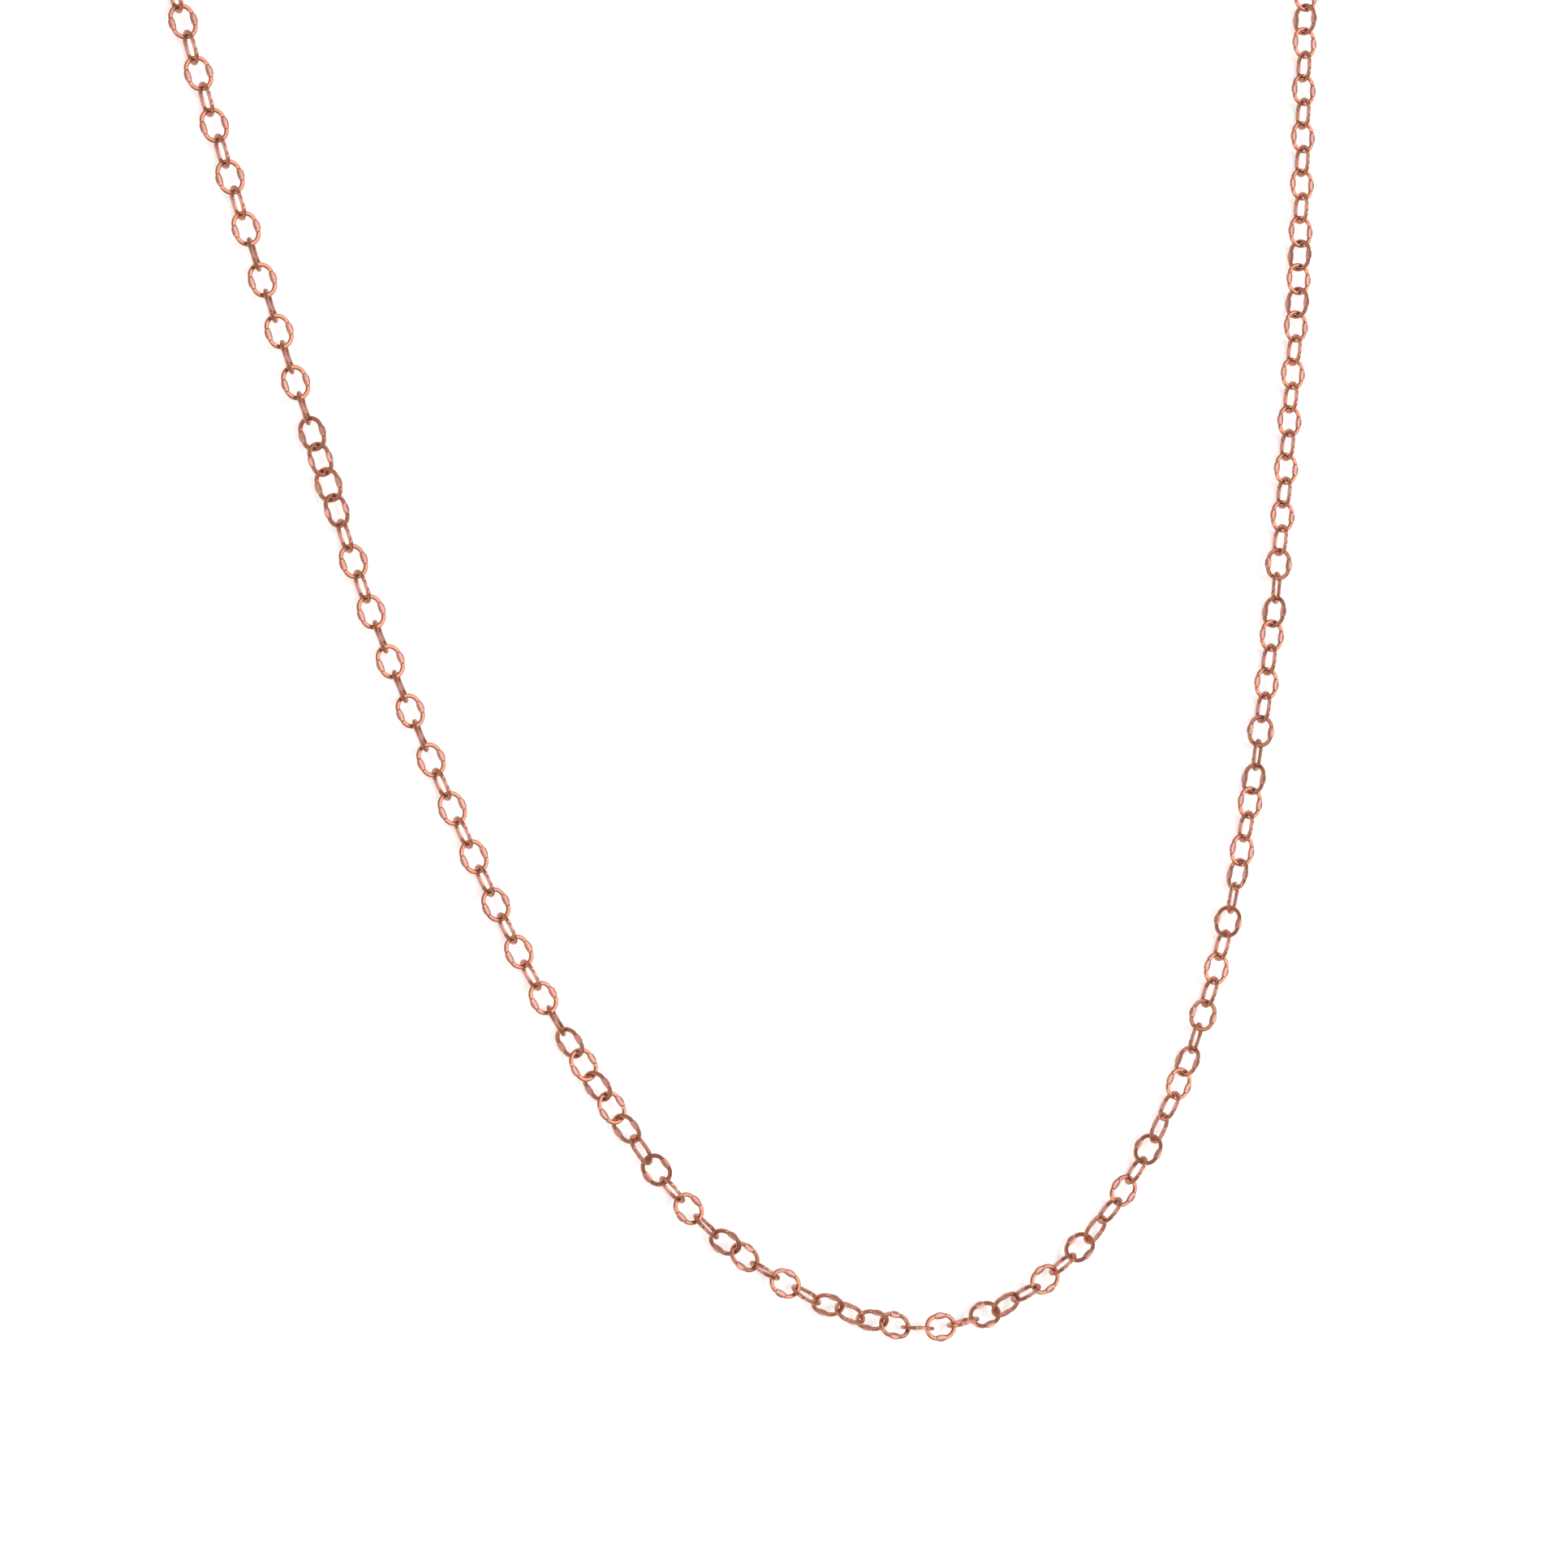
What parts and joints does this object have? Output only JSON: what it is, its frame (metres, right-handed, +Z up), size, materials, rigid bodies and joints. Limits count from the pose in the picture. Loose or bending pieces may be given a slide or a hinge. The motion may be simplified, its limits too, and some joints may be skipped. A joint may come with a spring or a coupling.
{
  "type": "chain necklace",
  "caption": "Slim rose gold cable chain necklace of hammered oval links, laid open in a long U, with a lobster clasp and a catch ring.",
  "frame": {"origin": "on the table under the middle of the laid necklace's bounding box", "axes": "+Z up from the table, +Y from the front of the necklace towards its two free ends, +X towards the end with the clasp"},
  "size_m": [0.1528, 0.2116, 0.0032],
  "materials": {
    "rose_gold_plate": "rose gold plated brass, satin hammered flats with brighter rubbed edges",
    "spring_steel": "polished"
  },
  "bodies": {
    "chain_links_25": {"chain_links_25": "rose_gold_plate"},
    "chain_links_01": {"chain_links_01": "rose_gold_plate"},
    "chain_links_02": {"chain_links_02": "rose_gold_plate"},
    "chain_links_03": {"chain_links_03": "rose_gold_plate"},
    "chain_links_04": {"chain_links_04": "rose_gold_plate"},
    "chain_links_05": {"chain_links_05": "rose_gold_plate"},
    "chain_links_06": {"chain_links_06": "rose_gold_plate"},
    "chain_links_07": {"chain_links_07": "rose_gold_plate"},
    "chain_links_08": {"chain_links_08": "rose_gold_plate"},
    "chain_links_09": {"chain_links_09": "rose_gold_plate"},
    "chain_links_10": {"chain_links_10": "rose_gold_plate"},
    "chain_links_11": {"chain_links_11": "rose_gold_plate"},
    "chain_links_12": {"chain_links_12": "rose_gold_plate"},
    "chain_links_13": {"chain_links_13": "rose_gold_plate"},
    "chain_links_14": {"chain_links_14": "rose_gold_plate"},
    "chain_links_15": {"chain_links_15": "rose_gold_plate"},
    "chain_links_16": {"chain_links_16": "rose_gold_plate"},
    "chain_links_17": {"chain_links_17": "rose_gold_plate"},
    "chain_links_18": {"chain_links_18": "rose_gold_plate"},
    "chain_links_19": {"chain_links_19": "rose_gold_plate"},
    "chain_links_20": {"chain_links_20": "rose_gold_plate"},
    "chain_links_21": {"chain_links_21": "rose_gold_plate"},
    "chain_links_22": {"chain_links_22": "rose_gold_plate"},
    "chain_links_23": {"chain_links_23": "rose_gold_plate"},
    "chain_links_24": {"chain_links_24": "rose_gold_plate"},
    "chain_links_26": {"chain_links_26": "rose_gold_plate"},
    "chain_links_27": {"chain_links_27": "rose_gold_plate"},
    "chain_links_28": {"chain_links_28": "rose_gold_plate"},
    "chain_links_29": {"chain_links_29": "rose_gold_plate"},
    "chain_links_30": {"chain_links_30": "rose_gold_plate"},
    "chain_links_31": {"chain_links_31": "rose_gold_plate"},
    "chain_links_32": {"chain_links_32": "rose_gold_plate"},
    "chain_links_33": {"chain_links_33": "rose_gold_plate"},
    "chain_links_34": {"chain_links_34": "rose_gold_plate"},
    "chain_links_35": {"chain_links_35": "rose_gold_plate"},
    "chain_links_36": {"chain_links_36": "rose_gold_plate"},
    "chain_links_37": {"chain_links_37": "rose_gold_plate"},
    "chain_links_38": {"chain_links_38": "rose_gold_plate"},
    "chain_links_39": {"chain_links_39": "rose_gold_plate"},
    "chain_links_40": {"chain_links_40": "rose_gold_plate"},
    "chain_links_41": {"chain_links_41": "rose_gold_plate"},
    "chain_links_42": {"chain_links_42": "rose_gold_plate"},
    "chain_links_43": {"chain_links_43": "rose_gold_plate"},
    "chain_links_44": {"chain_links_44": "rose_gold_plate"},
    "chain_links_45": {"chain_links_45": "rose_gold_plate"},
    "chain_links_46": {"chain_links_46": "rose_gold_plate"},
    "chain_links_47": {"chain_links_47": "rose_gold_plate"},
    "chain_links_48": {"chain_links_48": "rose_gold_plate"},
    "catch_jump_ring": {"catch_jump_ring": "rose_gold_plate"},
    "catch_ring": {"catch_ring": "rose_gold_plate"},
    "clasp_jump_ring": {"clasp_jump_ring": "rose_gold_plate"},
    "clasp": {"clasp_body": "rose_gold_plate", "clasp_pin": "spring_steel", "clasp_spring": "spring_steel"},
    "lever": {"clasp_lever": "rose_gold_plate"}
  },
  "joints": [
    {"name": "lift_25_26", "type": "hinge", "parent": "chain_links_25", "child": "chain_links_26", "pos_m": [0.02447, -0.10233, 0.00129], "axis": [0.3195, -0.765, -0.5592], "range_deg": [-60, 60]},
    {"name": "swing_26_27", "type": "hinge", "parent": "chain_links_26", "child": "chain_links_27", "pos_m": [0.03159, -0.09746, 0.00129], "axis": [0.5855, -0.587, -0.5592], "range_deg": [-30, 30]},
    {"name": "lift_27_28", "type": "hinge", "parent": "chain_links_27", "child": "chain_links_28", "pos_m": [0.03751, -0.0906, 0.00129], "axis": [-0.7338, 0.491, -0.4695], "range_deg": [-60, 60]},
    {"name": "swing_28_29", "type": "hinge", "parent": "chain_links_28", "child": "chain_links_29", "pos_m": [0.04212, -0.08279, 0.00129], "axis": [0.4258, -0.1978, 0.8829], "range_deg": [-30, 30]},
    {"name": "lift_29_30", "type": "hinge", "parent": "chain_links_29", "child": "chain_links_30", "pos_m": [0.04562, -0.07441, 0.00129], "axis": [-0.9438, 0.3304, 0], "range_deg": [-60, 60]},
    {"name": "swing_30_31", "type": "hinge", "parent": "chain_links_30", "child": "chain_links_31", "pos_m": [0.04833, -0.06575, 0.00129], "axis": [0.2831, -0.0731, 0.9563], "range_deg": [-30, 30]},
    {"name": "lift_31_32", "type": "hinge", "parent": "chain_links_31", "child": "chain_links_32", "pos_m": [0.05056, -0.05652, 0.00129], "axis": [0.9751, -0.2216, 0], "range_deg": [-60, 60]},
    {"name": "swing_32_33", "type": "hinge", "parent": "chain_links_32", "child": "chain_links_33", "pos_m": [0.05234, -0.04761, 0.00129], "axis": [0, 0, -1], "range_deg": [-30, 30]},
    {"name": "lift_33_34", "type": "hinge", "parent": "chain_links_33", "child": "chain_links_34", "pos_m": [0.05375, -0.03907, 0.00129], "axis": [0.6996, -0.1025, -0.7071], "range_deg": [-60, 60]},
    {"name": "swing_34_35", "type": "hinge", "parent": "chain_links_34", "child": "chain_links_35", "pos_m": [0.05499, -0.03008, 0.00129], "axis": [0, 0, -1], "range_deg": [-30, 30]},
    {"name": "lift_35_36", "type": "hinge", "parent": "chain_links_35", "child": "chain_links_36", "pos_m": [0.05617, -0.02065, 0.00129], "axis": [-0.9925, 0.1226, 0], "range_deg": [-60, 60]},
    {"name": "swing_36_37", "type": "hinge", "parent": "chain_links_36", "child": "chain_links_37", "pos_m": [0.0572, -0.01205, 0.00129], "axis": [0.4668, -0.0496, 0.8829], "range_deg": [-30, 30]},
    {"name": "lift_37_38", "type": "hinge", "parent": "chain_links_37", "child": "chain_links_38", "pos_m": [0.0581, -0.00259, 0.00129], "axis": [-0.9965, 0.0831, 0], "range_deg": [-60, 60]},
    {"name": "swing_38_39", "type": "hinge", "parent": "chain_links_38", "child": "chain_links_39", "pos_m": [0.05869, 0.00605, 0.00129], "axis": [0, 0, 1], "range_deg": [-30, 30]},
    {"name": "lift_39_40", "type": "hinge", "parent": "chain_links_39", "child": "chain_links_40", "pos_m": [0.05927, 0.01553, 0.00129], "axis": [0.998, -0.0631, 0], "range_deg": [-60, 60]},
    {"name": "swing_40_41", "type": "hinge", "parent": "chain_links_40", "child": "chain_links_41", "pos_m": [0.05984, 0.02417, 0.00129], "axis": [0, 0, -1], "range_deg": [-30, 30]},
    {"name": "lift_41_42", "type": "hinge", "parent": "chain_links_41", "child": "chain_links_42", "pos_m": [0.06048, 0.03365, 0.00129], "axis": [0.9973, -0.0731, 0], "range_deg": [-60, 60]},
    {"name": "swing_42_43", "type": "hinge", "parent": "chain_links_42", "child": "chain_links_43", "pos_m": [0.06127, 0.04227, 0.00129], "axis": [0, 0, -1], "range_deg": [-30, 30]},
    {"name": "lift_43_44", "type": "hinge", "parent": "chain_links_43", "child": "chain_links_44", "pos_m": [0.06238, 0.05171, 0.00129], "axis": [-0.992, 0.1265, 0], "range_deg": [-60, 60]},
    {"name": "swing_44_45", "type": "hinge", "parent": "chain_links_44", "child": "chain_links_45", "pos_m": [0.06366, 0.06027, 0.00129], "axis": [0, 0, 1], "range_deg": [-30, 30]},
    {"name": "lift_45_46", "type": "hinge", "parent": "chain_links_45", "child": "chain_links_46", "pos_m": [0.06542, 0.06961, 0.00129], "axis": [-0.9806, 0.1961, 0], "range_deg": [-60, 60]},
    {"name": "swing_46_47", "type": "hinge", "parent": "chain_links_46", "child": "chain_links_47", "pos_m": [0.06725, 0.07807, 0.00129], "axis": [0, 0, 1], "range_deg": [-30, 30]},
    {"name": "lift_47_48", "type": "hinge", "parent": "chain_links_47", "child": "chain_links_48", "pos_m": [0.06958, 0.08728, 0.00129], "axis": [0.9655, -0.2602, 0], "range_deg": [-60, 60]},
    {"name": "lift_24_25", "type": "hinge", "parent": "chain_links_25", "child": "chain_links_24", "pos_m": [0.01532, -0.10459, 0.00129], "axis": [-0.0649, 0.9979, 0], "range_deg": [-60, 60]},
    {"name": "swing_23_24", "type": "hinge", "parent": "chain_links_24", "child": "chain_links_23", "pos_m": [0.00655, -0.10241, 0.00129], "axis": [-0.2406, -0.6649, 0.7071], "range_deg": [-30, 30]},
    {"name": "lift_22_23", "type": "hinge", "parent": "chain_links_23", "child": "chain_links_22", "pos_m": [-0.00104, -0.09828, 0.00129], "axis": [-0.5589, -0.7759, 0.2924], "range_deg": [-60, 60]},
    {"name": "swing_21_22", "type": "hinge", "parent": "chain_links_22", "child": "chain_links_21", "pos_m": [-0.00797, -0.09244, 0.00129], "axis": [0, 0, -1], "range_deg": [-30, 30]},
    {"name": "lift_20_21", "type": "hinge", "parent": "chain_links_21", "child": "chain_links_20", "pos_m": [-0.01349, -0.08524, 0.00129], "axis": [-0.819, -0.5642, 0.1045], "range_deg": [-60, 60]},
    {"name": "swing_19_20", "type": "hinge", "parent": "chain_links_20", "child": "chain_links_19", "pos_m": [-0.01849, -0.07766, 0.00129], "axis": [0.4027, 0.2414, -0.8829], "range_deg": [-30, 30]},
    {"name": "lift_18_19", "type": "hinge", "parent": "chain_links_19", "child": "chain_links_18", "pos_m": [-0.02308, -0.06935, 0.00129], "axis": [0.8915, 0.453, 0], "range_deg": [-60, 60]},
    {"name": "swing_17_18", "type": "hinge", "parent": "chain_links_18", "child": "chain_links_17", "pos_m": [-0.02673, -0.06149, 0.00129], "axis": [0, 0, 1], "range_deg": [-30, 30]},
    {"name": "lift_16_17", "type": "hinge", "parent": "chain_links_17", "child": "chain_links_16", "pos_m": [-0.03056, -0.0528, 0.00129], "axis": [0.9184, 0.3957, 0], "range_deg": [-60, 60]},
    {"name": "swing_15_16", "type": "hinge", "parent": "chain_links_16", "child": "chain_links_15", "pos_m": [-0.03382, -0.04478, 0.00129], "axis": [-0.439, -0.1665, 0.8829], "range_deg": [-30, 30]},
    {"name": "lift_14_15", "type": "hinge", "parent": "chain_links_15", "child": "chain_links_14", "pos_m": [-0.03701, -0.03583, 0.00129], "axis": [-0.9491, -0.315, 0], "range_deg": [-60, 60]},
    {"name": "swing_13_14", "type": "hinge", "parent": "chain_links_14", "child": "chain_links_13", "pos_m": [-0.03959, -0.02756, 0.00129], "axis": [-0.6747, -0.2115, -0.7071], "range_deg": [-30, 30]},
    {"name": "lift_12_13", "type": "hinge", "parent": "chain_links_13", "child": "chain_links_12", "pos_m": [-0.04233, -0.01891, 0.00129], "axis": [-0.9533, -0.302, 0], "range_deg": [-60, 60]},
    {"name": "swing_11_12", "type": "hinge", "parent": "chain_links_12", "child": "chain_links_11", "pos_m": [-0.04518, -0.00984, 0.00129], "axis": [0.4483, 0.1392, -0.8829], "range_deg": [-30, 30]},
    {"name": "lift_10_11", "type": "hinge", "parent": "chain_links_11", "child": "chain_links_10", "pos_m": [-0.04768, -0.00155, 0.00129], "axis": [0.9595, 0.2817, 0], "range_deg": [-60, 60]},
    {"name": "swing_09_10", "type": "hinge", "parent": "chain_links_10", "child": "chain_links_09", "pos_m": [-0.05034, 0.00757, 0.00129], "axis": [0, 0, 1], "range_deg": [-30, 30]},
    {"name": "lift_08_09", "type": "hinge", "parent": "chain_links_09", "child": "chain_links_08", "pos_m": [-0.05274, 0.01589, 0.00129], "axis": [0.9617, 0.2742, 0], "range_deg": [-60, 60]},
    {"name": "swing_07_08", "type": "hinge", "parent": "chain_links_08", "child": "chain_links_07", "pos_m": [-0.05537, 0.02502, 0.00129], "axis": [0, 0, 1], "range_deg": [-30, 30]},
    {"name": "lift_06_07", "type": "hinge", "parent": "chain_links_07", "child": "chain_links_06", "pos_m": [-0.05788, 0.0333, 0.00129], "axis": [-0.9531, -0.3028, 0], "range_deg": [-60, 60]},
    {"name": "swing_05_06", "type": "hinge", "parent": "chain_links_06", "child": "chain_links_05", "pos_m": [-0.06078, 0.04235, 0.00129], "axis": [0, 0, -1], "range_deg": [-30, 30]},
    {"name": "lift_04_05", "type": "hinge", "parent": "chain_links_05", "child": "chain_links_04", "pos_m": [-0.06348, 0.05102, 0.00129], "axis": [-0.5343, -0.1648, -0.829], "range_deg": [-60, 60]},
    {"name": "swing_03_04", "type": "hinge", "parent": "chain_links_04", "child": "chain_links_03", "pos_m": [-0.06602, 0.0593, 0.00129], "axis": [0, 0, -1], "range_deg": [-30, 30]},
    {"name": "lift_02_03", "type": "hinge", "parent": "chain_links_03", "child": "chain_links_02", "pos_m": [-0.06866, 0.06842, 0.00129], "axis": [0.9631, 0.269, 0], "range_deg": [-60, 60]},
    {"name": "swing_01_02", "type": "hinge", "parent": "chain_links_02", "child": "chain_links_01", "pos_m": [-0.07081, 0.07681, 0.00129], "axis": [0, 0, 1], "range_deg": [-30, 30]},
    {"name": "catch_jump_ring_swing", "type": "hinge", "parent": "chain_links_01", "child": "catch_jump_ring", "pos_m": [-0.07305, 0.08604, 0.00129], "axis": [0.9708, 0.2398, 0], "range_deg": [-45, 45]},
    {"name": "catch_ring_swing", "type": "hinge", "parent": "catch_jump_ring", "child": "catch_ring", "pos_m": [-0.07356, 0.08808, 0.00114], "axis": [0, 0, 1], "range_deg": [-60, 60]},
    {"name": "clasp_jump_ring_swing", "type": "hinge", "parent": "chain_links_48", "child": "clasp_jump_ring", "pos_m": [0.07198, 0.09604, 0.00129], "axis": [0.9656, -0.2599, 0], "range_deg": [-45, 45]},
    {"name": "clasp_swing", "type": "hinge", "parent": "clasp_jump_ring", "child": "clasp", "pos_m": [0.07252, 0.09805, 0.0011], "axis": [0, 0, 1], "range_deg": [-60, 60]},
    {"name": "lever_pivot", "type": "hinge", "parent": "clasp", "child": "lever", "pos_m": [0.07289, 0.10058, 0.0011], "axis": [0, 0, -1], "range_deg": [0, 28], "stiffness_Nm_per_rad": 0.004, "deforming": ["clasp_spring"]}
  ]
}
